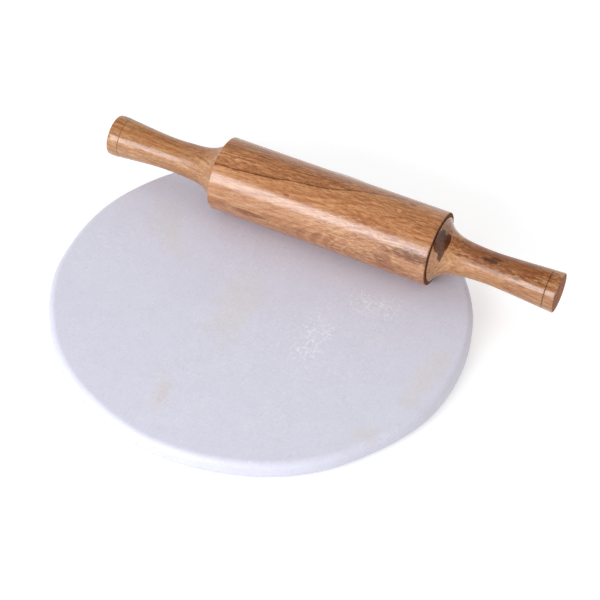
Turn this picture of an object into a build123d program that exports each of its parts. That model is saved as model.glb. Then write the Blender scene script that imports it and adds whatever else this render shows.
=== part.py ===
from build123d import *
import os

# A round marble rolling board with a wooden pin lying across the back of it. The pin is a turned
# barrel that revolves on a steel axle, which is glued into a turned handle at each end.
#
# Millimetres, +Z up. The origin is the middle of the pad's underside, on the worktop. +X runs
# along the pin, +Y across it towards the back of the board. Each piece of the pin is drawn about
# the pin's own middle, with its line along X, and then put in its place on the board.

# The board: a sawn slab with a well rounded top edge and an eased bottom edge
board_diameter = 254.0
board_thickness = 11.0
board_top_edge_radius = 4.3
board_bottom_edge_radius = 2.5

# The pad bonded to the underside
pad_diameter = 210.0
pad_thickness = 2.0
pad_edge_radius = 0.6

# Where the pin lies on the board in the stored pose, and how far it rides clear of the stone
pin_shift_x = 12.8
pin_shift_y = 65.7
pin_clearance = 0.3

# The barrel, and the seam between it and each handle
barrel_diameter = 46.3
barrel_length = 144.0
barrel_edge_radius = 0.5
seam_gap = 0.8

# The handle, outwards from its face at the seam: a collar a little smaller than the barrel, a cove
# that falls away from it at once, and a slim neck. Every place is measured from that face.
handle_length = 77.0
collar_diameter = 40.6
collar_edge_radius = 0.4
shoulder_place = 3.4
shoulder_diameter = 32.0
cove_place = 8.5
cove_diameter = 25.9
cove_foot_place = 16.0
cove_foot_diameter = 22.2
waist_place = 25.0
waist_diameter = 20.8
neck_place = 35.0
neck_diameter = 20.4

# The handle's end: a ring scribed round it, a slightly rounded crown and a domed end face. These
# places are measured from the end, back along the pin.
scribe_place = 8.2
scribe_diameter = 24.7
scribe_width = 0.8
scribe_depth = 0.3
crown_place = 3.6
crown_diameter = 25.5
end_face_place = 1.2
end_face_diameter = 25.2
end_edge_radius = 0.8

# How steeply the handle's outline falls from the collar and how steeply it rises at the ring, in
# degrees, and how firmly the curve holds to both slopes: 1 keeps it evenly bent
collar_fall_angle = 62.0
scribe_rise_angle = 4.5
slope_hold = 1.0

# The axle, and the sockets that it is glued into
axle_diameter = 8.0
axle_grip = 40.0
axle_end_chamfer = 0.6
glue_gap = 0.05
socket_end_room = 1.0
barrel_bore_diameter = 10.0

# The flanged bushes pressed into the barrel's ends, and the washers in the seams
bush_diameter = 15.0
bush_length = 16.0
bush_flange_diameter = 20.0
bush_flange_thickness = 1.6
bush_running_gap = 0.06
washer_diameter = 18.0
washer_thickness = 0.6
washer_bore_gap = 0.1

# Places that several pieces share
board_top = pad_thickness + board_thickness
seam_face = barrel_length / 2 + seam_gap
pin_place = Location(
    (pin_shift_x, pin_shift_y, board_top + pin_clearance + barrel_diameter / 2)
)


def rod(diameter, start, end):
    """A plain round bar on the pin's line, from one place along it to another."""
    bar = Cylinder(diameter / 2, end - start, rotation=(0, 90, 0))
    return Location(((start + end) / 2, 0, 0)) * bar


def make_board():
    """The slab, with its two edges rounded."""
    slab = Cylinder(
        board_diameter / 2, board_thickness, align=(Align.CENTER, Align.CENTER, Align.MIN)
    )
    slab = fillet(slab.edges().group_by(Axis.Z)[-1], board_top_edge_radius)
    slab = fillet(slab.edges().group_by(Axis.Z)[0], board_bottom_edge_radius)
    return Location((0, 0, pad_thickness)) * slab


def make_pad():
    """The rubber sheet under the slab, with its lower edge softened."""
    pad = Cylinder(pad_diameter / 2, pad_thickness, align=(Align.CENTER, Align.CENTER, Align.MIN))
    return fillet(pad.edges().group_by(Axis.Z)[0], pad_edge_radius)


def make_barrel():
    """The rolling cylinder, bored right through and counterbored at each end for its bush."""
    half = barrel_length / 2
    wood = rod(barrel_diameter, -half, half)
    wood = fillet(wood.edges().filter_by(GeomType.CIRCLE), barrel_edge_radius)
    wood -= rod(barrel_bore_diameter, -half, half)
    wood -= make_bush_blank()
    wood -= mirror(make_bush_blank(), about=Plane.YZ)
    return wood


def make_bush_blank():
    """The outside of the bush at the right end: its sleeve and its flange, flush with the wood."""
    half = barrel_length / 2
    sleeve = rod(bush_diameter, half - bush_length, half)
    return sleeve + rod(bush_flange_diameter, half - bush_flange_thickness, half)


def make_bush():
    """The bush at the right end, bored to run on the axle."""
    half = barrel_length / 2
    return make_bush_blank() - rod(axle_diameter + 2 * bush_running_gap, half - bush_length, half)


def make_washer():
    """The thrust washer at the right end, against the handle's face."""
    face = seam_face - washer_thickness
    washer = rod(washer_diameter, face, seam_face)
    return washer - rod(axle_diameter + 2 * washer_bore_gap, face, seam_face)


def make_axle():
    """The steel rod, which fills both sockets but for the room at their ends."""
    steel = rod(axle_diameter, -seam_face - axle_grip, seam_face + axle_grip)
    return chamfer(steel.edges().filter_by(GeomType.CIRCLE), axle_end_chamfer)


def make_handle():
    """The handle at the right end: half its outline, spun round the pin's line, less its socket."""
    end = seam_face + handle_length
    collar = collar_diameter / 2
    scribe = scribe_diameter / 2
    scribe_middle = end - scribe_place
    scribe_start = (scribe_middle - scribe_width / 2, scribe)
    scribe_end = (scribe_middle + scribe_width / 2, scribe)
    end_rim = (end - end_face_place, end_face_diameter / 2)
    grip_points = [
        (seam_face + place, diameter / 2)
        for place, diameter in (
            (shoulder_place, shoulder_diameter),
            (cove_place, cove_diameter),
            (cove_foot_place, cove_foot_diameter),
            (waist_place, waist_diameter),
            (neck_place, neck_diameter),
        )
    ]

    face = Line((seam_face, 0), (seam_face, collar - collar_edge_radius))
    edge = RadiusArc(face @ 1, (seam_face + collar_edge_radius, collar), collar_edge_radius)
    grip = Spline(
        [edge @ 1, *grip_points, scribe_start],
        tangents=[
            Vector(1, 0).rotate(Axis.Z, -collar_fall_angle),
            Vector(1, 0).rotate(Axis.Z, scribe_rise_angle),
        ],
        tangent_scalars=[slope_hold, slope_hold],
    )
    groove = ThreePointArc(scribe_start, (scribe_middle, scribe - scribe_depth), scribe_end)
    crown = ThreePointArc(scribe_end, (end - crown_place, crown_diameter / 2), end_rim)
    dome_radius = (end_face_place**2 + (end_face_diameter / 2) ** 2) / (2 * end_face_place)
    dome = RadiusArc(end_rim, (end, 0), dome_radius)
    middle = Line(dome @ 1, face @ 0)
    outline = make_face(Curve() + [face, edge, grip, groove, crown, dome, middle])
    wood = revolve(outline, Axis.X)
    rims = wood.edges().filter_by(GeomType.CIRCLE).filter_by_position(Axis.X, end_rim[0], end_rim[0])
    wood = fillet(rims, end_edge_radius)
    socket_depth = axle_grip + socket_end_room
    return wood - rod(axle_diameter + 2 * glue_gap, seam_face, seam_face + socket_depth)


pin_pieces = {
    "barrel": make_barrel(),
    "axle": make_axle(),
    "right_bush": make_bush(),
    "right_washer": make_washer(),
    "right_handle": make_handle(),
}
for name in ("bush", "washer", "handle"):
    pin_pieces[f"left_{name}"] = mirror(pin_pieces[f"right_{name}"], about=Plane.YZ)

pieces = {"marble_board": make_board(), "base_pad": make_pad()}
for name, piece in pin_pieces.items():
    pieces[name] = pin_place * piece

os.makedirs("parts", exist_ok=True)
for name, piece in pieces.items():
    export_step(piece, f"parts/{name}.step")
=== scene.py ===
import math

import bmesh
import bpy
from mathutils import Matrix, Vector, noise


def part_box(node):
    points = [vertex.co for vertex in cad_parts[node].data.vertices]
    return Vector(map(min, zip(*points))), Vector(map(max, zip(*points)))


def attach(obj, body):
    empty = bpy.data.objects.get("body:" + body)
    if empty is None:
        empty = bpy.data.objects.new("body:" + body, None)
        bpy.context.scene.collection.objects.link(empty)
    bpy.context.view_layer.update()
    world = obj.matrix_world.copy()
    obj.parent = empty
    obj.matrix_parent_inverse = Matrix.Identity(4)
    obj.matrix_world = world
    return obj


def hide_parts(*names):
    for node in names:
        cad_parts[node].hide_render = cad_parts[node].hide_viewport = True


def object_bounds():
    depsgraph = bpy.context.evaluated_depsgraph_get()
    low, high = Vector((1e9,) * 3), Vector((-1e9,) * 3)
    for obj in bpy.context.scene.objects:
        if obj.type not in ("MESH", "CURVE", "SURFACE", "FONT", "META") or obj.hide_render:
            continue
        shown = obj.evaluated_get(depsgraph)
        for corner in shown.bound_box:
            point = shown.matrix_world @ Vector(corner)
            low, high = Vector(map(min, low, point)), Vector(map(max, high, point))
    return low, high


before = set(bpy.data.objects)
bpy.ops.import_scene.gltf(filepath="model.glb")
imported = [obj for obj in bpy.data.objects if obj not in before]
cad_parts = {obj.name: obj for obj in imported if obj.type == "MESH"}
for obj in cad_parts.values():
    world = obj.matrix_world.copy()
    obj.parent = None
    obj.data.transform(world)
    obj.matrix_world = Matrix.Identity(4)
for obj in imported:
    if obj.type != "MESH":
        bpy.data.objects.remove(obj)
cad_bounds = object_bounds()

# Camera: the set was photographed from above and from a little right of the front, with a long
# lens. The camera leans by a few degrees about its own line of sight.
camera_target = Vector((0.02058, 0.00987, 0.0130))
camera_distance = 1.0788
camera_azimuth = math.radians(23.504)
camera_elevation = math.radians(46.255)
camera_lean = math.radians(3.026)
camera_lens = 108.48


def towards(azimuth, elevation):
    """The direction turned by azimuth from the front towards the right, and raised by elevation."""
    level = math.cos(elevation)
    return Vector((math.sin(azimuth) * level, -math.cos(azimuth) * level, math.sin(elevation)))


camera = bpy.data.objects.new("camera", bpy.data.cameras.new("camera"))
camera.data.lens = camera_lens
camera_right = Vector((math.cos(camera_azimuth), math.sin(camera_azimuth), 0))
camera_back = towards(camera_azimuth, camera_elevation)
camera_up = camera_back.cross(camera_right)
camera_turn = Matrix((camera_right, camera_up, camera_back)).transposed().to_4x4()
camera.matrix_world = (
    Matrix.Translation(camera_target + camera_back * camera_distance)
    @ camera_turn
    @ Matrix.Rotation(camera_lean, 4, "Z")
)
bpy.context.scene.collection.objects.link(camera)
bpy.context.scene.camera = camera


# Base pad: a sheet of black rubber, cut round and bonded under the slab, so that the stone neither
# slides nor scratches the worktop. Its cut edge is all that shows of it.
def add_node(tree, kind, feeds=None, **options):
    """A shader node, with its options set and its inputs fed by numbers, colours or other nodes."""
    made = tree.nodes.new("ShaderNode" + kind)
    for name, value in options.items():
        setattr(made, name, value)
    for key, value in (feeds or {}).items():
        if isinstance(value, bpy.types.NodeSocket):
            tree.links.new(value, made.inputs[key])
        else:
            made.inputs[key].default_value = value
    return made


class Finish:
    """A finish being mixed: a material whose shader nodes are added one after another."""

    def __init__(self, name):
        self.material = bpy.data.materials.new(name)
        self.material.use_nodes = True
        self.tree = self.material.node_tree
        self.tree.nodes.clear()
        outputs = self.add("TexCoord").outputs
        self.place, self.facing = outputs["Object"], outputs["Normal"]

    def add(self, kind, feeds=None, **options):
        """A node of this finish."""
        return add_node(self.tree, kind, feeds, **options)

    def reckon(self, operation, *values):
        """One step of arithmetic on numbers."""
        feeds = {place: value for place, value in enumerate(values)}
        return self.add("Math", feeds, operation=operation).outputs[0]

    def plus(self, first, second):
        """Two numbers added."""
        return self.reckon("ADD", first, second)

    def less(self, first, second):
        """The second number taken from the first."""
        return self.reckon("SUBTRACT", first, second)

    def times(self, first, second):
        """Two numbers multiplied."""
        return self.reckon("MULTIPLY", first, second)

    def most(self, first, second):
        """The greater of two numbers."""
        return self.reckon("MAXIMUM", first, second)

    def move(self, operation, first, second):
        """One step of arithmetic on points."""
        return self.add("VectorMath", {0: first, 1: second}, operation=operation).outputs[0]

    def stretch(self, point, along, across):
        """A point with its distances along X and across it scaled, so that a pattern draws out."""
        return self.move("MULTIPLY", point, (along, across, across))

    def mottle(self, point, scale, detail=2.0, roughness=0.5):
        """Cloudy noise between 0 and 1."""
        feeds = {"Vector": point, "Scale": scale, "Detail": detail, "Roughness": roughness}
        return self.add("TexNoise", feeds).outputs["Fac"]

    def rise(self, value, low, high, top=1.0):
        """0 below low, top above high and a soft step between; low may be the greater of the two."""
        feeds = {"Value": value, "From Min": low, "From Max": high, "To Min": 0.0, "To Max": top}
        return self.add("MapRange", feeds, interpolation_type="SMOOTHSTEP").outputs[0]

    def scaled(self, value, low, high):
        """Noise between 0 and 1 turned into a number between low and high."""
        return self.add("MapRange", {"Value": value, "To Min": low, "To Max": high}).outputs[0]

    def tint(self, share, first, second, blend="MIX"):
        """Two colours mixed by share."""
        feeds = {0: share, 6: first, 7: second}
        return self.add("Mix", feeds, data_type="RGBA", blend_type=blend).outputs[2]

    def dyed(self, colour, shade):
        """A colour multiplied by a shade."""
        return self.tint(1.0, colour, shade, "MULTIPLY")

    def relief(self, height, depth, normal=None):
        """Height between 0 and 1 raised to that depth in metres."""
        feeds = {"Height": height, "Distance": depth, "Strength": 1.0}
        if normal is not None:
            feeds["Normal"] = normal
        return self.add("Bump", feeds).outputs[0]

    def done(self, colour, roughness, normal, **fixed):
        """The surface itself, from its colour, its roughness and its relief."""
        feeds = {"Base Color": colour, "Roughness": roughness, "Normal": normal}
        feeds.update({name.replace("_", " "): value for name, value in fixed.items()})
        surface = self.add("BsdfPrincipled", feeds)
        self.add("OutputMaterial", {"Surface": surface.outputs[0]})
        return self.material


def lay_finish(piece, material):
    """One finish over the whole of a piece."""
    piece.data.materials.clear()
    piece.data.materials.append(material)


rubber_black, rubber_dusty = (0.022, 0.021, 0.020, 1), (0.060, 0.057, 0.053, 1)
rubber_roughness = (0.6, 0.85)
# Grains are counted to the metre here, and heights are in metres
bloom_grain, pebble_grain, pebble_height = 90, 1500, 0.00006


def rubber_finish():
    """Black rubber with a dusty bloom and a fine moulded grain."""
    rubber = Finish("pad rubber")
    bloom = rubber.mottle(rubber.place, bloom_grain, 4, 0.6)
    pebble = rubber.mottle(rubber.place, pebble_grain)
    colour = rubber.tint(bloom, rubber_black, rubber_dusty)
    roughness = rubber.scaled(bloom, *rubber_roughness)
    return rubber.done(colour, roughness, rubber.relief(pebble, pebble_height))


lay_finish(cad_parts["base_pad"], rubber_finish())


# Marble board: one round slab of pale white marble with a lavender cast, sawn from a block, ground
# round by hand with a well eased top edge, and honed to a satin top. It lies on the pad bonded to it.
crisp_angle = math.radians(35)


def turned(name, outline, axis, middle, steps, unevenness=None):
    """A solid of smooth quads: an outline of (along, radius) points spun about an axis. The outline
    is closed by the axis where it starts and ends at no radius, and otherwise back to its start."""
    solid = outline[0][1] == 0 and outline[-1][1] == 0
    points, faces, rings = [], [], []
    for along, radius in outline:
        ring = []
        for step in range(1 if radius == 0 else steps):
            angle = 2 * math.pi * step / steps
            length, reach = along, radius
            if unevenness and radius:
                length, reach = unevenness(along, radius, angle)
            side, up = reach * math.cos(angle), reach * math.sin(angle)
            point = (length, side, up) if axis == "X" else (side, up, length)
            ring.append(len(points))
            points.append(Vector(point) + middle)
        rings.append(ring)
    pairs = list(zip(rings, rings[1:])) + ([] if solid else [(rings[-1], rings[0])])
    for first, second in pairs:
        for step in range(steps):
            after = (step + 1) % steps
            corners = [first[step % len(first)], first[after % len(first)],
                       second[after % len(second)], second[step % len(second)]]
            faces.append(list(dict.fromkeys(corners)))
    mesh = bpy.data.meshes.new(name)
    mesh.from_pydata(points, [], faces)
    mesh.update()
    piece = bpy.data.objects.new(name, mesh)
    bpy.context.scene.collection.objects.link(piece)
    settle(mesh)
    return piece


def settle(mesh):
    """Smooth shading that stays crisp at real arrises, and faces that all look outwards."""
    shell = bmesh.new()
    shell.from_mesh(mesh)
    bmesh.ops.recalc_face_normals(shell, faces=shell.faces)
    shell.to_mesh(mesh)
    shell.free()
    mesh.shade_smooth()
    mesh.set_sharp_from_angle(angle=crisp_angle)


def arc(middle, radius, start, end, steps):
    """Points on a round edge, from one angle to another in degrees."""
    spread = [math.radians(start + (end - start) * step / steps) for step in range(steps + 1)]
    return [(middle[0] + radius * math.cos(a), middle[1] + radius * math.sin(a)) for a in spread]


def spaced(start, end, steps):
    """Evenly spaced numbers from start up to, but not including, end."""
    return [start + (end - start) * step / steps for step in range(steps)]


board_low, board_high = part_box("marble_board")
board_radius = (board_high.x - board_low.x) / 2
board_top_round, board_foot_round = 0.0043, 0.0025
board_steps = 480
# Where the flat faces' rings begin, and how far the last of them keeps from a rounded edge
underside_start, top_start, ring_margin = 0.008, 0.002, 0.0004
# How far the rim falls short of a true circle, in millimetres, every 10 degrees round the front from
# 5 degrees past the left end of the pin's line. Adding rim_start brings that first place to nought.
rim_start, rim_spacing = 175, 10
rim_shortfall = (
    0.68, 0.06, 0.40, 0.63, 0.21, 0.31, 0.96, 0.67, 0.19, 0.40, 0.61, 0.40, 0.06, 0.52, 1.31, 0.83,
    0.02, 0.32, 0.48, 0.42, 0.45, 0.80, 1.10, 1.10, 1.10, 1.10, 1.10, 1.10, 1.10, 1.10, 1.10, 1.00,
    0.90, 0.74, 0.10, 0.36,
)
# How far in from the rim its wander is felt, and the small ripple that the grinding leaves on it
rim_reach = 0.02
ripple_height, ripple_scale, ripple_rise, ripple_layers = 0.00005, 5, 30, (0.8, 2, 4)


def board_outline():
    """The slab's half section, from the middle of its underside round to the middle of its top."""
    low, high = board_low.z, board_high.z
    foot_middle = (low + board_foot_round, board_radius - board_foot_round)
    crown_middle = (high - board_top_round, board_radius - board_top_round)
    foot = arc(foot_middle, board_foot_round, 180, 90, 8)
    crown = arc(crown_middle, board_top_round, 90, 0, 14)
    foot_ring, crown_ring = foot[0][1] - ring_margin, crown[-1][1] - ring_margin
    underside = [(low, radius) for radius in spaced(underside_start, foot_ring, 12) + [foot_ring]]
    wall = [(along, board_radius) for along in spaced(foot[-1][0], crown[0][0], 5)[1:]]
    top = [(high, radius) for radius in spaced(crown_ring, top_start, 60)]
    return [(low, 0)] + underside + foot + wall + crown + top + [(high, 0)]


def ground_by_hand(along, radius, angle):
    """The rim wanders, because it is ground round by hand and eye. It only ever falls short."""
    spot = (math.degrees(angle) + rim_start) % 360 / rim_spacing
    number = int(spot)
    before, here, after, beyond = (
        rim_shortfall[(number + step) % len(rim_shortfall)] for step in (-1, 0, 1, 2)
    )
    t = spot - number
    fall = here + t * ((after - before) / 2 + t * (
        before - 2.5 * here + 2 * after - beyond / 2
        + t * (1.5 * (here - after) + (beyond - before) / 2)
    ))
    around = Vector((math.cos(angle), math.sin(angle), along * ripple_rise))
    ripple = noise.fractal(around * ripple_scale, *ripple_layers)
    share = max(0.0, (radius - board_radius + rim_reach) / rim_reach)
    return along, radius - share * max(0.0, fall / 1000 + ripple_height * ripple)


# The stone's colours, each from its dimmer to its lighter, and the colours of its marks
stone_colours = (0.652, 0.636, 0.718, 1), (0.684, 0.667, 0.748, 1)
sugar_shades = (0.95, 0.95, 0.955, 1), (1.025, 1.025, 1.022, 1)
smoke_shades = (0.985, 0.985, 0.986, 1), (1.015, 1.015, 1.014, 1)
beige_and_painted_bounce_tint, beige_and_painted_bounce_share = (1.005, 0.985, 0.915, 1), 0.95
rust_colour, rust_share = (0.655, 0.590, 0.610, 1), 0.8
fleck_colour, strewn_share, flecked_share, blotch_share = (0.80, 0.80, 0.83, 1), 0.25, 0.85, 0.4
dash_colour, dash_share = (0.44, 0.43, 0.48, 1), 0.22
pit_colour, pit_share = (0.42, 0.41, 0.46, 1), 0.2
# How fine its marks are, counted to the millimetre, and how far a dash is drawn out
cloud_grain, sugar_grain, fray_grain, dash_grain = 0.03, 0.75, 0.11, 0.62
blotch_grain, pit_grain, dash_squeeze = 0.3, 1.6, 0.33
# Between which levels of its noise each mark sets in
sugar_range, smoke_range, pit_range = (0.25, 0.75), (0.3, 0.7), (0.30, 0.22)
strewn_range, blotch_range = (0.42, 0.62), (0.5, 0.6)
pale_ranges, dark_ranges = ((0.57, 0.68), (0.58, 0.69)), ((0.36, 0.27), (0.35, 0.26))
patch_edge, patch_fray, patch_depth = (1.2, 0.4), 0.9, 50
stone_roughness, stone_relief, sugar_relief = (0.38, 0.55), 0.00004, 0.5
# Its patches, in millimetres and degrees: the place across the board and how far back, the half
# length and half width, and the turn of each
# Of the beige patches, the first and the last are painted warm bounce and shade that the pin throws
# on the stone beside it; the others are beige clouds in the stone
beige_and_painted_bounce_patches = [
    (-11, -14, 36, 15, 97), (-18, -90, 19, 8, 100), (112, -12, 36, 9, 84), (99, -66, 10, 6, 60),
    (-78, 28, 27, 12, 133),
]
rust_patches = [(-17, -93, 12, 2.6, 102)]
flecked_patches = [(41, -14, 29, 10, 98), (62, 27, 20, 12, 20)]


def marble_finish():
    """Honed marble: near white with a lavender cast, sugary crystals, faint beige clouds, painted
    warm bounce and shade from the pin on the stone beside it, and pale flecks. Its distances are in
    millimetres."""
    stone = Finish("honed marble")
    place = stone.move("MULTIPLY", stone.place, (1000, 1000, 1000))
    cloud = stone.mottle(place, cloud_grain, 3, 0.55)
    sugar = stone.mottle(place, sugar_grain, 3, 0.65)
    frayed = stone.mottle(place, fray_grain, 4, 0.6)
    colour = stone.tint(cloud, *stone_colours)
    colour = stone.dyed(colour, stone.tint(stone.rise(sugar, *sugar_range), *sugar_shades))
    colour = stone.dyed(colour, stone.tint(stone.rise(frayed, *smoke_range), *smoke_shades))

    def patches(shapes):
        """Ragged patches of the shapes given, as one share between 0 and 1."""
        whole = 0.0
        for across, deep, half_length, half_width, turn in shapes:
            spot = stone.move("SUBTRACT", place, (across, deep, 0))
            turning = {"Vector": spot, "Angle": math.radians(-turn)}
            spot = stone.add("VectorRotate", turning, rotation_type="Z_AXIS").outputs[0]
            shape = stone.move("MULTIPLY", spot, (1 / half_length, 1 / half_width, 1 / patch_depth))
            reach = stone.add("VectorMath", {0: shape}, operation="LENGTH").outputs["Value"]
            reach = stone.plus(reach, stone.scaled(frayed, -patch_fray, patch_fray))
            whole = stone.most(whole, stone.rise(reach, *patch_edge))
        return whole

    # Beige: clouds in the stone, and painted warm bounce and shade from the pin beside it
    beige = stone.times(patches(beige_and_painted_bounce_patches), beige_and_painted_bounce_share)
    colour = stone.tint(beige, colour, stone.dyed(colour, beige_and_painted_bounce_tint))
    colour = stone.tint(stone.times(patches(rust_patches), rust_share), colour, rust_colour)

    # Short pale and dark dashes, lying two ways, and the stronger pale flecks of two patches
    lengthwise = stone.move("MULTIPLY", place, (1.0, dash_squeeze, 1.0))
    crosswise = stone.move("MULTIPLY", place, (dash_squeeze, 1.0, 1.0))
    dashes = stone.mottle(lengthwise, dash_grain), stone.mottle(crosswise, dash_grain)
    elsewhere = stone.move("ADD", place, (31, 8, 3))
    strewn = stone.rise(stone.mottle(elsewhere, cloud_grain), *strewn_range)
    flecked = patches(flecked_patches)
    blotches = stone.rise(stone.mottle(place, blotch_grain, 3, 0.6), *blotch_range)
    pale = stone.most(*(stone.rise(dash, *span) for dash, span in zip(dashes, pale_ranges)))
    shares = stone.plus(stone.times(strewn, strewn_share), stone.times(flecked, flecked_share))
    blotched = stone.times(flecked, stone.times(blotches, blotch_share))
    colour = stone.tint(stone.plus(stone.times(pale, shares), blotched), colour, fleck_colour)
    dark = stone.most(*(stone.rise(dash, *span) for dash, span in zip(dashes, dark_ranges)))
    colour = stone.tint(stone.times(dark, dash_share), colour, dash_colour)
    pits = stone.rise(stone.mottle(place, pit_grain), *pit_range)
    colour = stone.tint(stone.times(pits, pit_share), colour, pit_colour)
    height = stone.less(stone.times(sugar, sugar_relief), pits)
    roughness = stone.scaled(sugar, *stone_roughness)
    relief = stone.relief(height, stone_relief)
    return stone.done(colour, roughness, relief, Specular_IOR_Level=0.5)


marble_slab = turned(
    "marble_slab", board_outline(), "Z", Vector((0, 0, 0)), board_steps, ground_by_hand
)
lay_finish(marble_slab, marble_finish())
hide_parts("marble_board")
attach(marble_slab, "board")


# Axle and washers: a drawn steel rod, glued into both handles, with a thin steel washer in each
# seam that takes the rub of the barrel's end. Only a glint of them shows, deep in the seams.
steel_colours = (0.46, 0.46, 0.47, 1), (0.62, 0.62, 0.62, 1)
steel_roughness = (0.28, 0.48)
drawn_along, drawn_across, drawn_depth, haze_grain = 40, 6000, 0.000008, 300


def steel_finish():
    """Bright steel with fine drawing lines along the rod and a breath of grey on it."""
    steel = Finish("drawn steel")
    drawn = steel.mottle(steel.stretch(steel.place, drawn_along, drawn_across), 1, 3)
    haze = steel.mottle(steel.place, haze_grain, 3)
    roughness = steel.scaled(haze, *steel_roughness)
    relief = steel.relief(drawn, drawn_depth)
    return steel.done(steel.tint(drawn, *steel_colours), roughness, relief, Metallic=1.0)


drawn_steel = steel_finish()
for steel_piece in ("axle", "left_washer", "right_washer"):
    lay_finish(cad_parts[steel_piece], drawn_steel)


# Bushes: two flanged nylon bushes, moulded, pressed into the counterbored ends of the barrel, in
# which the axle runs dry.
nylon_colours = (0.70, 0.67, 0.60, 1), (0.80, 0.78, 0.72, 1)
nylon_roughness, nylon_grain, nylon_depth = (0.42, 0.58), 500, 0.00001


def nylon_finish():
    """Off-white moulded nylon, slightly dusty."""
    nylon = Finish("moulded nylon")
    dust = nylon.mottle(nylon.place, nylon_grain, 3)
    roughness = nylon.scaled(dust, *nylon_roughness)
    return nylon.done(nylon.tint(dust, *nylon_colours), roughness, nylon.relief(dust, nylon_depth))


moulded_nylon = nylon_finish()
for bush in ("left_bush", "right_bush"):
    lay_finish(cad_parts[bush], moulded_nylon)


# Barrel: the rolling part of the pin, turned from one length of a reddish-brown hardwood, bored
# through, sanded and lacquered. A dark line of heartwood wanders along it from its left end.
barrel_low, barrel_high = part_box("barrel")
pin_middle = (barrel_low + barrel_high) / 2
barrel_half = (barrel_high.x - barrel_low.x) / 2
barrel_radius = (barrel_high.z - barrel_low.z) / 2
barrel_edge_round = 0.0005
barrel_bore = 0.005
bush_seat, bush_seat_depth = 0.0075, 0.016
flange_seat, flange_seat_depth = 0.010, 0.0016
# How close to an edge an end face has a ring, where its middle ring lies as a share of its radius,
# and how far from the ends the outside's rings run
edge_ring, middle_ring, left_ring, right_ring = 0.0003, 0.6, 0.0008, 0.0004
barrel_steps = 256


def barrel_outline():
    """The barrel's half section: its outside, its ends and the bore with a seat for each bush."""
    half, rim = barrel_half, barrel_radius - barrel_edge_round
    outside = arc((half - barrel_edge_round, rim), barrel_edge_round, 90, 0, 4)
    end_face = [(half, rim - edge_ring), (half, rim * middle_ring), (half, flange_seat + edge_ring)]
    seat = [
        (half, flange_seat), (half - flange_seat_depth, flange_seat),
        (half - flange_seat_depth, bush_seat), (half - bush_seat_depth, bush_seat),
        (half - bush_seat_depth, barrel_bore),
    ]
    right = outside + end_face + seat
    left = [(-along, radius) for along, radius in reversed(right)]
    places = spaced(left_ring - half, half - right_ring, 48)
    return right + left + [(along, barrel_radius) for along in places]


# How finely each figure of the wood is drawn, counted to the millimetre along the pin and across it
sway_grain, ripple_grain = (0.028, 0.07), (0.16, 0.3)
broad_grain, fibre_grain, hair_grain = (0.03, 0.11), (0.06, 0.62), (0.22, 1.0)
pore_grain, pore_dash_grain, dash_shift = (0.34, 1.6), (0.19, 0.95), (57, 11, 31)
# How much each figure adds to the wood's tone, the tones of its darkest and palest colours, and how
# deep past the heart's edge the sapwood sets in
band_share, broad_share, fibre_share, hair_share = 0.46, 0.30, 0.55, 0.85
tone_range, sapwood_range = (0.70, 1.46), (-0.5, 2.5)
# How a knot's swirl dies away, how ragged its heart is and where the heart's edge lies
swirl_fade, heart_fray, heart_range = -0.22, 2.2, (1.3, 0.6)
# The pin's front, low down, is painted paler and bluer, as light falling on it from the lamp before
# it, and, left of its middle, calmer in its grain: which way that front faces, and how far towards it
# and along the pin the grain is calmed
front_lean, calm_front, calm_place = (-0.99, 0.14), (14, 20, 0.6), (10, -10)
painted_light_tint = (1.08, 1.26, 1.5, 1)
# Late wood: how sharply each line ends, and where and how strongly the lines show
late_sharpness, late_range = 5.0, (0.32, 0.62, 0.42)
# Pores: the levels of the noise at which both kinds set in, and how many of them the sapwood has
pore_range, dash_range, sapwood_pores = (0.46, 0.34), (0.57, 0.66), 0.55
# Streaks: how ragged they are and how narrow their core is, by their half width, and how far they
# take to set in and to die away. The scribed ring: its edge and the share of its faintest part
streak_fray, streak_core, streak_start, streak_end = 1.1, 0.2, 6, 14
ring_edge, ring_faint = (0.42, 0.15), 0.1
mark_colour, mark_share = (0.085, 0.030, 0.012, 1), 0.85
# End grain: how squarely the wood is cut where it begins and where it is whole, the shades of its
# fibres and how much duller it is. A handle is a little dull too where hands have held it, from and
# to the places that its blank gives, and how far it takes to grow dull
end_cut, open_range = (0.90, 0.985), (0.38, 0.62)
open_shades = (0.72, 0.68, 0.66, 1), (1.22, 1.24, 1.26, 1)
end_dullness, worn_dullness, worn_start, worn_end = 0.75, 0.22, 4, 8
gloss_range = (-0.05, 0.08)
# Relief: how high the hairs stand, how deep the marks lie, and the heights of both and of the bands
hair_height, mark_height, fine_relief, band_relief = 0.35, 0.5, 0.00004, 0.00005


def blank_place(along, angle, radius):
    """A place on the pin as a point in the blank: the angle runs from the top towards the front."""
    turn = math.radians(angle)
    return along, -radius * math.sin(turn), radius * math.cos(turn)


def how_far(wood, place, middle, half_length, half_width):
    """The square of a point's distance from a long round patch's middle, 1 at the patch's edge."""
    spot = wood.move("SUBTRACT", place, middle)
    shape = wood.move("MULTIPLY", spot, (1 / half_length, 1 / half_width, 1 / half_width))
    feeds = {0: shape, 1: shape}
    return wood.add("VectorMath", feeds, operation="DOT_PRODUCT").outputs["Value"]


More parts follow.
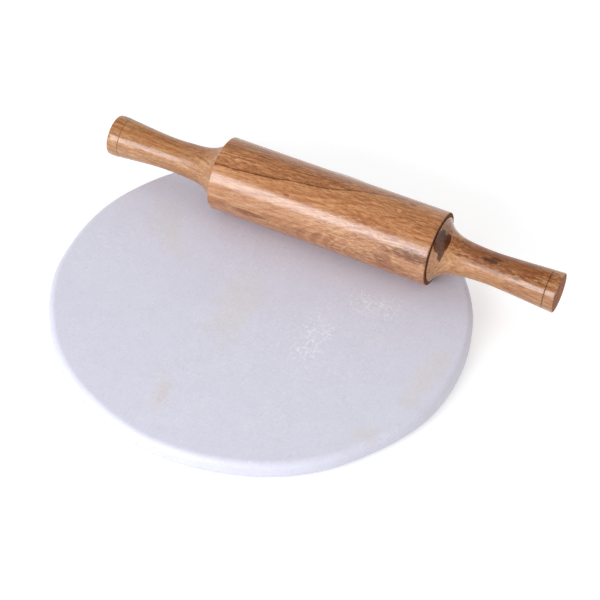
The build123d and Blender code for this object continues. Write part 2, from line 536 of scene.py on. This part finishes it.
def growth_depth(wood, blank, parts, seeded):
    """How deep a point lies across the growth layers, with their slope along the pin and sway."""
    lie = math.radians(blank["lie"])
    depth = wood.plus(wood.times(parts[1], -math.cos(lie)), wood.times(parts[2], -math.sin(lie)))
    ends = {"Value": parts[0], "From Min": blank["left_end"], "From Max": blank["right_end"]}
    slope = wood.add("FloatCurve", {"Value": wood.add("MapRange", ends).outputs[0]})
    reach, rises = blank["slope_reach"], blank["slope"]
    heights = [0.5 + rise / (2 * reach) for rise in rises]
    curve = slope.mapping.curves[0]
    curve.points[0].location = (0, heights[0])
    curve.points[1].location = (1, heights[-1])
    for number, height in enumerate(heights[1:-1], 1):
        curve.points.new(number / (len(heights) - 1), height)
    slope.mapping.update()
    depth = wood.plus(depth, wood.scaled(slope.outputs[0], -reach, reach))
    for grain, swing in ((sway_grain, blank["sway"]), (ripple_grain, blank["ripple"])):
        wander = wood.mottle(wood.stretch(seeded, *grain), 1)
        depth = wood.plus(depth, wood.scaled(wander, -swing, swing))
    return depth


def wood_finish(name, blank):
    """Lacquered wood, with its growth layers, fibres, pores, streaks and knots worked out from
    where each point lay in the blank. Distances in the blank are in millimetres from the pin's
    middle."""
    wood = Finish(name)
    place = wood.move("SUBTRACT", wood.place, tuple(pin_middle))
    place = wood.move("MULTIPLY", place, (1000, 1000, 1000))
    seeded = wood.move("ADD", place, blank["cut_from"])
    parts = wood.add("SeparateXYZ", {0: place}).outputs

    # Layers, with the swirl that each knot gives them, and the knots' own dark hearts
    depth = growth_depth(wood, blank, parts, seeded)
    hairs = wood.mottle(wood.stretch(seeded, *hair_grain), 1, 4, 0.75)
    hearts = []
    for along, angle, radius, half_length, half_width, lift, share in blank["knots"]:
        far = how_far(wood, place, blank_place(along, angle, radius), half_length, half_width)
        swirl = wood.reckon("EXPONENT", wood.times(far, swirl_fade))
        depth = wood.plus(depth, wood.times(swirl, lift))
        if share:
            far = wood.plus(far, wood.scaled(hairs, -heart_fray, heart_fray))
            hearts.append(wood.times(wood.rise(far, *heart_range), share))

    # Tone: broad bands of the layers, long fibres and short hairs over them, and the sapwood
    layers = {"W": depth, "Scale": blank["bands"], "Detail": 4.0, "Roughness": 0.62}
    bands = wood.add("TexNoise", layers, noise_dimensions="1D").outputs["Fac"]
    broad = wood.mottle(wood.stretch(seeded, *broad_grain), 1)
    fibres = wood.mottle(wood.stretch(seeded, *fibre_grain), 1, 4, 0.65)
    sapwood = wood.rise(depth, *(blank["heart_edge"] + level for level in sapwood_range))
    front = wood.plus(wood.times(parts[1], front_lean[0]), wood.times(parts[2], front_lean[1]))
    calm = wood.times(wood.rise(front, *calm_front), wood.rise(parts[0], *calm_place))
    hairs = wood.plus(hairs, wood.times(calm, wood.less(0.5, hairs)))
    tone = wood.times(bands, band_share)
    for layer, share in (
        (broad, broad_share), (fibres, fibre_share), (hairs, hair_share),
        (sapwood, blank["sapwood"]),
    ):
        tone = wood.plus(tone, wood.times(layer, share))
    colours = wood.add("ValToRGB", {0: wood.rise(tone, *tone_range)})
    stops = colours.color_ramp.elements
    dark, middle, pale = blank["colours"]
    stops[0].color, stops[1].color = dark, pale
    stops.new(0.5).color = middle
    # Painted light: the lower front is paled and blued, as if lit by the lamp before it
    painted_lit_colour = wood.dyed(colours.outputs[0], painted_light_tint)
    colour = wood.tint(wood.rise(front, *blank["painted_light_front"]), colours.outputs[0], painted_lit_colour)

    # Stains: patches of darker or redder wood whose edges run out along the fibres; a few of them,
    # marked where they are listed, are painted shade instead. Those of one shade make one patch.
    patches = {}
    for along, angle, radius, half_length, half_width, soft, share, shade in blank["stains"]:
        far = how_far(wood, place, blank_place(along, angle, radius), half_length, half_width)
        fray = blank["fray"] * soft
        far = wood.plus(far, wood.scaled(hairs, -fray, fray))
        amount = wood.rise(far, 1 + soft, 1 - soft, share)
        patches[shade] = wood.most(patches.get(shade, 0.0), amount)
    for shade, amount in patches.items():
        colour = wood.tint(amount, colour, wood.dyed(colour, (*shade, 1)))

    # Marks: late-wood lines that end sharply, pores as short dashes, the dark streaks, the knots'
    # hearts and the ring scribed in a handle
    rings = wood.reckon("FRACT", wood.times(depth, blank["rings"]))
    late = wood.times(wood.reckon("POWER", rings, late_sharpness), wood.rise(broad, *late_range))
    pores = wood.mottle(wood.stretch(seeded, *pore_grain), 1, 3, 0.6)
    shifted = wood.move("ADD", seeded, dash_shift)
    dashes = wood.mottle(wood.stretch(shifted, *pore_dash_grain), 1, 2, 0.6)
    pores = wood.most(wood.rise(pores, *pore_range), wood.rise(dashes, *dash_range))
    pores = wood.times(pores, wood.scaled(sapwood, blank["pores"], blank["pores"] * sapwood_pores))
    marks = wood.most(late, pores)
    for level, width, start, end, share in blank["streaks"]:
        off = wood.reckon("ABSOLUTE", wood.less(depth, level))
        fray = width * streak_fray
        line = wood.rise(wood.plus(off, wood.scaled(hairs, -fray, fray)), width, width * streak_core)
        begun = wood.rise(parts[0], start, start + streak_start)
        ended = wood.rise(parts[0], end, end - streak_end)
        line = wood.times(line, wood.times(begun, ended))
        marks = wood.most(marks, wood.times(line, share))
    for heart in hearts:
        marks = wood.most(marks, heart)
    if "ring" in blank:
        off = wood.reckon("ABSOLUTE", wood.less(parts[0], blank["ring"]))
        darkness = wood.scaled(broad, ring_faint, blank["ring_dark"])
        marks = wood.most(marks, wood.times(wood.rise(off, *ring_edge), darkness))
    colour = wood.tint(wood.times(marks, mark_share), colour, mark_colour)

    # End grain drinks the lacquer: it is darker and duller where the surface is cut square across
    squareness = wood.reckon("ABSOLUTE", wood.add("SeparateXYZ", {0: wood.facing}).outputs[0])
    endwards = wood.rise(squareness, *end_cut)
    open_grain = wood.tint(wood.rise(hairs, *open_range), *open_shades)
    sawn = wood.dyed(wood.dyed(colour, (*blank["end_shade"], 1)), open_grain)
    colour = wood.tint(endwards, colour, sawn)
    roughness = wood.scaled(hairs, *(blank["gloss"] + level for level in gloss_range))
    roughness = wood.plus(roughness, wood.times(endwards, end_dullness))
    if "dull" in blank:
        start, end = blank["dull"]
        begun = wood.rise(parts[0], start - worn_start, start + worn_start)
        ended = wood.rise(parts[0], end + worn_end, end - worn_end)
        roughness = wood.plus(roughness, wood.times(wood.times(begun, ended), worn_dullness))
    height = wood.less(wood.times(hairs, hair_height), wood.times(marks, mark_height))
    relief = wood.relief(bands, band_relief, wood.relief(height, fine_relief))
    return wood.done(colour, roughness, relief, Specular_IOR_Level=blank["polish"])


# A knot is its place along, its angle and radius, its half length and half width, how far it lifts
# the layers, and how dark its heart is. A streak is its depth, half width, start, end and share.
# A stain is its place, its half length and half width, how soft its edge is, its share and shade.
barrel_blank = {
    "cut_from": (0, 0, 0), "left_end": -72, "right_end": 72, "lie": 10,
    "slope": (-10.15, -9.05, -7.15, -4.42, -2.02, 4.02, 9.05, 12.3, 14.3), "slope_reach": 20,
    "sway": 0.9, "ripple": 0.35, "bands": 0.55, "rings": 0.28, "pores": 0.6, "fray": 4.0,
    "heart_edge": 0.0, "sapwood": 0.05, "painted_light_front": (17, 21.5, 0.8),
    "gloss": 0.17, "polish": 0.55, "end_shade": (0.42, 0.26, 0.20),
    "colours": ((0.200, 0.068, 0.024, 1), (0.420, 0.165, 0.063, 1), (0.660, 0.335, 0.150, 1)),
    "knots": [
        (51, -14, 23.2, 1.7, 1.2, 0.5, 0.0), (14, 118, 21, 15, 11, 7.0, 0.0),
        (46, 112, 21, 12, 9, 5.0, 0.0), (45.5, 8, 23.2, 1.2, 1.2, 0.3, 0.0),
    ],
    "streaks": [
        (0.0, 0.6, -80, 42, 0.95), (17.9, 0.35, 47, 90, 0.9), (-3.2, 0.3, -70, -20, 0.45),
    ],
    "stains": [
        (51, -14, 23.2, 2.4, 1.3, 0.3, 0.9, (0.60, 0.34, 0.30)),
        (-22, 45, 23.2, 2.2, 0.8, 0.3, 0.9, (0.60, 0.34, 0.30)),
        (46, 8, 23.2, 1.4, 1.2, 0.3, 0.8, (1.45, 1.70, 1.95)),
        (-59, 20, 23.2, 2.0, 1.2, 0.4, 0.7, (1.45, 1.70, 1.95)),
        (58, 75, 23.2, 36, 20, 0.6, 0.7, (0.88, 0.84, 0.82)),
        (64, 69, 23.2, 14, 3.4, 0.8, 0.95, (0.44, 0.34, 0.30)),
        (45, 84, 23.2, 6, 6, 0.6, 0.7, (0.66, 0.58, 0.56)),
        (-44, 97, 23.2, 11, 2.2, 0.6, 0.85, (0.58, 0.46, 0.38)),
        # Painted shade: the pin's underside, darkened along its whole length
        (-10, 106, 23.2, 78, 8, 0.8, 0.8, (0.80, 0.74, 0.70)),
    ],
}
barrel = turned("turned_barrel", barrel_outline(), "X", pin_middle, barrel_steps)
lay_finish(barrel, wood_finish("barrel wood", barrel_blank))
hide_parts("barrel")
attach(barrel, "barrel")


# Handles: turned from two shorter lengths of the same wood, each with a small collar at the seam, a
# cove, a slim neck and a rounded end with a ring scribed round it. Glued onto the axle.
handle_low, handle_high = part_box("right_handle")
handle_face = handle_low.x - pin_middle.x
handle_end = handle_high.x - pin_middle.x
collar_radius = (handle_high.z - handle_low.z) / 2
collar_edge_round = 0.0004
# The collar's face is hollowed in the middle for the washer, so that its lip closes the seam
collar_lip, lip_start, face_start = 0.0005, 0.0115, 0.0055
collar_fall, scribe_rise = math.radians(62), math.radians(4)
scribe_width, scribe_depth, scribe_step = 0.0008, 0.0003, 0.00005
end_rim_place, end_rim_round, rim_ease, dome_middle = 0.0012, 0.0007, 0.8, 0.0006
handle_steps = 192
# Each is turned by eye, so the two differ: the places along the grip and their radii, the ring, the
# crown and the rim of the end face, in millimetres, and how far the end runs out of true, in metres
left_shape = {
    "grip": (
        (3.4, 16.35), (8.5, 13.25), (16, 11.3), (25, 10.65), (35, 10.38), (45, 10.72), (57, 11.68),
    ),
    "ring": (68.3, 12.6), "crown": (73.0, 13.0), "rim": 12.75, "drop": 0.00012,
}
right_shape = {
    "grip": (
        (3.4, 15.75), (8.5, 12.75), (16, 10.95), (25, 10.2), (35, 9.98), (46, 10.5), (57, 11.22),
    ),
    "ring": (69.3, 12.05), "crown": (73.5, 12.25), "rim": 12.5, "drop": 0.00042,
}
socket_radius, socket_depth = 0.00405, 0.041
bending_rounds = 40


def bent(points, start_angle, end_angle, steps):
    """An evenly bent line through points, which leaves and arrives at the angles given."""
    points = [Vector(point) for point in points]
    spans = [(b - a).length for a, b in zip(points, points[1:])]
    leans = [Vector((1, 0)) for point in points]
    leans[0] = Vector((math.cos(start_angle), math.sin(start_angle)))
    leans[-1] = Vector((math.cos(end_angle), math.sin(end_angle)))
    for bending in range(bending_rounds):
        for k in range(1, len(points) - 1):
            before, after = spans[k - 1], spans[k]
            pull = (points[k] - points[k - 1]) / before**2 + (points[k + 1] - points[k]) / after**2
            pull = 3 * pull - (leans[k - 1] / before + leans[k + 1] / after)
            leans[k] = pull / (2 / before + 2 / after)
    line = []
    for k, span in enumerate(spans):
        for t in spaced(0, 1, steps):
            place = (2 * t**3 - 3 * t**2 + 1) * points[k] + (3 * t**2 - 2 * t**3) * points[k + 1]
            place += span * ((t**3 - 2 * t**2 + t) * leans[k] + (t**3 - t**2) * leans[k + 1])
            line.append(tuple(place))
    return line


def bowed(start, middle, end, steps):
    """A line that bows through a middle point, as a parabola."""
    a = (middle[1] - start[1]) / (middle[0] - start[0])
    b = ((end[1] - start[1]) / (end[0] - start[0]) - a) / (end[0] - middle[0])
    places = spaced(start[0], end[0], steps)
    return [(x, start[1] + (x - start[0]) * (a + b * (x - middle[0]))) for x in places]


def eased(start, corner, end, steps):
    """A corner rounded off between two points, without the two points themselves."""
    return [
        tuple((1 - t)**2 * start[k] + 2 * t * (1 - t) * corner[k] + t**2 * end[k] for k in (0, 1))
        for t in spaced(0, 1, steps)[1:]
    ]


def handle_outline(shape):
    """A handle's half section, from the end of its socket round to the middle of its end."""
    def spot(along, radius):
        """A point of the shape, from millimetres past the face."""
        return handle_face + along / 1000, radius / 1000

    face, end, lip = handle_face, handle_end, handle_face - collar_lip
    socket = [(face + socket_depth, 0)]
    socket += [(face + along, socket_radius) for along in (socket_depth, 0.03, 0.02, 0.01, 0)]
    hollow = [(face, radius) for radius in spaced(face_start, lip_start, 4) + [lip_start]]
    rim_radius, edge_radius = lip_start + edge_ring, collar_radius - collar_edge_round
    collar = [(lip, radius) for radius in spaced(rim_radius, edge_radius, 6)]
    collar += arc((lip + collar_edge_round, edge_radius), collar_edge_round, 180, 90, 4)
    ring_place, ring_radius = spot(*shape["ring"])
    ring_start = (ring_place - scribe_width / 2, ring_radius)
    ring_end = (ring_place + scribe_width / 2, ring_radius + scribe_step)
    stations = [collar[-1]] + [spot(*station) for station in shape["grip"]] + [ring_start]
    grip = bent(stations, -collar_fall, scribe_rise, 12)[1:]
    ring = bowed(ring_start, (ring_place, ring_radius - scribe_depth), ring_end, 8)
    rim = (end - end_rim_place, shape["rim"] / 1000)
    crown = bowed(ring_end, spot(*shape["crown"]), rim, 24)
    crown = [point for point in crown if point[0] < rim[0] - end_rim_round * rim_ease]
    dome = [
        (end - end_rim_place * (radius / rim[1])**2, radius)
        for radius in spaced(rim[1] - end_rim_round, dome_middle, 20)
    ]
    edge = eased(crown[-1], rim, dome[0], 7)
    return socket + hollow + collar + grip + ring + crown + edge + dome + [(end, 0)]


handle_wood = {
    "gloss": 0.13,
    "colours": ((0.270, 0.098, 0.036, 1), (0.430, 0.180, 0.068, 1), (0.600, 0.315, 0.140, 1)),
}
left_blank = {
    **barrel_blank, **handle_wood,
    "cut_from": (310, 40, -25), "left_end": -149, "right_end": -72, "lie": 60,
    "slope": (2.5, 1.2, 0, -1.0, -2.4), "painted_light_front": (6.5, 9.5, 0.8),
    "heart_edge": 14, "sway": 1.1, "pores": 0.42,
    "polish": 0.48, "dull": (-100, -60), "end_shade": (0.55, 0.48, 0.50),
    "ring": -141.1, "ring_dark": 0.5,
    "knots": [],
    "streaks": [(-8.2, 0.3, -150, -70, 0.6), (-5.6, 0.25, -137, -98, 0.6)],
    # Painted shade: the stain below darkens the handle's underside along its whole length
    "stains": [(-110, 100, 11, 45, 5, 0.9, 0.4, (0.80, 0.76, 0.74))],
}
right_blank = {
    **barrel_blank, **handle_wood,
    "cut_from": (-95, 15, 60), "left_end": 72, "right_end": 149, "lie": -20,
    "slope": (0, 0.8, 1.0, 0.4, -1.0), "painted_light_front": (6.5, 9.5, 0.5),
    "heart_edge": -4, "sway": 1.3, "pores": 0.5,
    "polish": 0.5, "dull": (86, 122), "end_shade": (0.74, 0.60, 0.66),
    "ring": 142.1, "ring_dark": 1.5,
    "knots": [
        (106, 23, 10, 6.5, 1.4, -2.2, 1.0), (109, 9, 10, 3.5, 1.2, -0.8, 0.9),
        (149.3, -95, 7.6, 1.8, 1.7, 0, 1.0), (149.3, -173, 7.8, 1.8, 1.6, 0, 1.0),
    ],
    "streaks": [
        (-2.0, 0.35, 84, 145, 0.6), (-0.6, 0.25, 88, 140, 0.5), (-3.6, 0.3, 96, 142, 0.5),
    ],
    "stains": [
        (112, 8, 10, 36, 7.5, 0.6, 0.95, (0.58, 0.43, 0.36)),
        (74.6, 28, 17.0, 2.6, 7.5, 0.15, 0.95, (0.19, 0.085, 0.05)),
        (77.8, 22, 13.6, 2.0, 6.0, 0.12, 0.95, (0.19, 0.085, 0.05)),
        (77.2, 46, 14.5, 1.6, 6.5, 0.15, 0.95, (0.19, 0.085, 0.05)),
        (134, 85, 11, 16, 12, 0.5, 0.75, (0.76, 0.70, 0.70)),
        # Painted shade: the collar's top, darkened beside the seam with the barrel
        (74.5, -6, 17, 3.5, 9, 0.8, 0.8, (0.50, 0.44, 0.42)),
    ],
}
for side, blank, shape, mirror in (
    ("left", left_blank, left_shape, -1), ("right", right_blank, right_shape, 1),
):
    outline = [(along * mirror, radius) for along, radius in handle_outline(shape)]
    handle = turned(f"turned_{side}_handle", outline, "X", pin_middle, handle_steps)
    drop = Vector((0, shape["drop"], shape["drop"]))
    for corner in handle.data.vertices:
        share = (abs(corner.co.x - pin_middle.x) - handle_face) / (handle_end - handle_face)
        corner.co -= drop * share**2
    lay_finish(handle, wood_finish(f"{side} handle wood", blank))
    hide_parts(f"{side}_handle")
    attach(handle, "handles")


# Floor and light: a plain white sheet to stand on, an even white surround, and one long soft lamp
# low at the front left, which draws the bright band along the pin.
floor_reach = 6.0
floor_colour, floor_lift = (0.86, 0.86, 0.86, 1), 0.33
# The floor keeps a hair's breadth below the pad, so that the two never share a plane
floor_clearance = 0.00005
white = (1, 1, 1, 1)


def floor_finish():
    """White card. Where it is looked at straight, it is lifted to white but keeps its shadow."""
    card = Finish("white card")
    surface = card.add("BsdfDiffuse", {"Color": floor_colour})
    lift = card.add("Emission", {"Color": white, "Strength": floor_lift})
    rays = card.add("LightPath").outputs
    seen = card.most(rays["Is Camera Ray"], rays["Is Glossy Ray"])
    seen = card.most(seen, rays["Is Transmission Ray"])
    lit = card.add("AddShader", {0: surface.outputs[0], 1: lift.outputs[0]})
    shown = card.add("MixShader", {0: seen, 1: surface.outputs[0], 2: lit.outputs[0]})
    card.add("OutputMaterial", {"Surface": shown.outputs[0]})
    return card.material


floor_level = cad_bounds[0][2] - floor_clearance
floor_corners = [
    (x * floor_reach, y * floor_reach, floor_level) for x, y in ((-1, -1), (1, -1), (1, 1), (-1, 1))
]
floor_mesh = bpy.data.meshes.new("floor")
floor_mesh.from_pydata(floor_corners, [], [(0, 1, 2, 3)])
floor = bpy.data.objects.new("floor", floor_mesh)
bpy.context.scene.collection.objects.link(floor)
lay_finish(floor, floor_finish())

surround_level = 0.78
# In the polish the walls show white up to the first height and the ceiling dark above the second
wall_top, wall_level, ceiling_level = (0.34, 0.66), 1.0, 0.12
surround = bpy.data.worlds.new("surround")
bpy.context.scene.world = surround
surround.use_nodes = True
surround.node_tree.nodes.clear()


def surround_node(kind, feeds=None, **options):
    """A node of the surround."""
    return add_node(surround.node_tree, kind, feeds, **options)


def surround_light(strength):
    """Even white light of one strength."""
    return surround_node("Background", {"Color": white, "Strength": strength}).outputs[0]


surround_rays = surround_node("LightPath").outputs
outwards = surround_node("TexCoord").outputs["Generated"]
overhead = surround_node("MapRange", {
    "Value": surround_node("SeparateXYZ", {0: outwards}).outputs[2],
    "From Min": wall_top[0], "From Max": wall_top[1], "To Min": wall_level, "To Max": ceiling_level,
}, interpolation_type="SMOOTHSTEP")
shining = surround_node("MixShader", {
    0: surround_rays["Is Glossy Ray"],
    1: surround_light(surround_level), 2: surround_light(overhead.outputs[0]),
})
seen_through = surround_node("Math", {
    0: surround_rays["Is Camera Ray"], 1: surround_rays["Is Transmission Ray"],
})
surround_shown = surround_node("MixShader", {
    0: seen_through.outputs[0], 1: shining.outputs[0], 2: surround_light(1.0),
})
surround_node("OutputWorld", {"Surface": surround_shown.outputs[0]})

lamp_azimuth, lamp_elevation = math.radians(-17.3), math.radians(21)
lamp_distance = 1.6
lamp_width, lamp_height = 1.1, 0.75
lamp_lean = math.radians(8)
lamp_power, lamp_colour = 17.5, (0.93, 0.995, 1.11)
lamp = bpy.data.objects.new("long soft lamp", bpy.data.lights.new("long soft lamp", "AREA"))
lamp.data.shape = "RECTANGLE"
lamp.data.size, lamp.data.size_y = lamp_width, lamp_height
lamp.data.energy, lamp.data.color = lamp_power, lamp_colour
lamp_back = towards(lamp_azimuth, lamp_elevation)
lamp_turn = lamp_back.to_track_quat("Z", "Y").to_matrix().to_4x4()
lamp.location = pin_middle + lamp_back * lamp_distance
lamp.rotation_euler = (lamp_turn @ Matrix.Rotation(lamp_lean, 4, "Z")).to_euler()
bpy.context.scene.collection.objects.link(lamp)

bpy.context.scene.view_settings.view_transform = "Standard"
